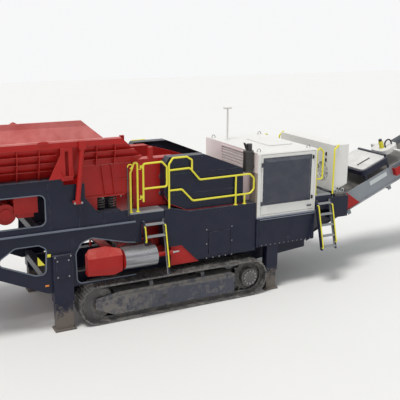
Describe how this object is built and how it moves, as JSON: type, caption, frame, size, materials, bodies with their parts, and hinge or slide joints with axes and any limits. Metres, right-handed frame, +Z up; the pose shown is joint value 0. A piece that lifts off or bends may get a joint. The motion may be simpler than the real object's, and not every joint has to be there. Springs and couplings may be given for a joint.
{
  "type": "mobile jaw crusher",
  "caption": "Mobile jaw crusher on crawler tracks with feed hopper, vibrating feeder, jaw crusher, engine canopy, rising main conveyor with magnet, and side conveyor.",
  "frame": {"origin": "on the ground under the middle of the machine's box", "axes": "+X along the machine from the feed hopper towards the main conveyor, -Y the near side shown in the picture, +Z up"},
  "size_m": [14.314, 3.3212, 4.1393],
  "materials": {
    "track_steel": "worn steel caked with dry mud",
    "navy_paint": "dark blue-grey paint, dusty and scuffed",
    "red_paint": "red paint, dusty and chipped",
    "white_paint": "off-white paint, slightly dusty",
    "yellow_paint": "yellow safety paint",
    "grey_paint": "pale grey paint, dusty",
    "black_paint": "black heat-proof paint",
    "belt_rubber": "black belt rubber with dust",
    "cast_steel": "worn cast steel",
    "bare_steel": "dull bare steel"
  },
  "bodies": {
    "chassis": {"track_chain_near": "track_steel", "track_chain_far": "track_steel", "track_frame_near": "track_steel", "track_frame_far": "track_steel", "track_wheels_near": "track_steel", "track_wheels_far": "track_steel", "main_frame": "navy_paint", "side_plate_near": "navy_paint", "side_plate_far": "navy_paint", "leg_sleeves": "navy_paint", "hopper_side_near": "red_paint", "hopper_side_far": "red_paint", "hopper_rear": "red_paint", "hopper_struts": "red_paint", "feeder_pan": "red_paint", "feeder_drive": "red_paint", "feeder_springs": "bare_steel", "crusher_body": "red_paint", "jaw_plates": "cast_steel", "flywheel_guard_near": "navy_paint", "flywheel_guard_far": "navy_paint", "body_panel_near": "navy_paint", "body_panel_far": "navy_paint", "canopy_base": "navy_paint", "canopy": "white_paint", "engine": "bare_steel", "exhaust": "black_paint", "platforms": "grey_paint", "ladders": "yellow_paint", "handrails": "yellow_paint", "cooler_box": "white_paint", "conveyor_frame": "grey_paint", "conveyor_guards": "red_paint", "conveyor_belt": "belt_rubber", "conveyor_drums": "bare_steel", "magnet": "navy_paint", "side_conveyor": "red_paint", "side_belt": "belt_rubber"},
    "flywheels": {"flywheel_near": "navy_paint", "flywheel_far": "navy_paint"},
    "gate": {"gate": "yellow_paint"},
    "canopy_door": {"canopy_door": "white_paint"},
    "leg_rear_near": {"leg_rear_near": "navy_paint"},
    "leg_rear_far": {"leg_rear_far": "navy_paint"},
    "leg_front_near": {"leg_front_near": "navy_paint"},
    "leg_front_far": {"leg_front_far": "navy_paint"}
  },
  "joints": [
    {"name": "gate_hinge", "type": "hinge", "parent": "chassis", "child": "gate", "pos_m": [-2.312, -1.2, 2.61], "axis": [0, 0, -1], "range_deg": [0, 100]},
    {"name": "canopy_door_hinge", "type": "hinge", "parent": "chassis", "child": "canopy_door", "pos_m": [0.583, -1.294, 2.15], "axis": [0, 0, -1], "range_deg": [0, 110]},
    {"name": "flywheel_spin", "type": "hinge", "parent": "chassis", "child": "flywheels", "pos_m": [-1.147, 0, 2.78], "axis": [0, 1, 0], "continuous": true},
    {"name": "leg_rear_near_slide", "type": "slide", "parent": "chassis", "child": "leg_rear_near", "axis": [0, 0, 1], "range_m": [0, 0.4]},
    {"name": "leg_rear_far_slide", "type": "slide", "parent": "chassis", "child": "leg_rear_far", "axis": [0, 0, 1], "range_m": [0, 0.4]},
    {"name": "leg_front_near_slide", "type": "slide", "parent": "chassis", "child": "leg_front_near", "axis": [0, 0, 1], "range_m": [0, 0.4]},
    {"name": "leg_front_far_slide", "type": "slide", "parent": "chassis", "child": "leg_front_far", "axis": [0, 0, 1], "range_m": [0, 0.4]}
  ]
}
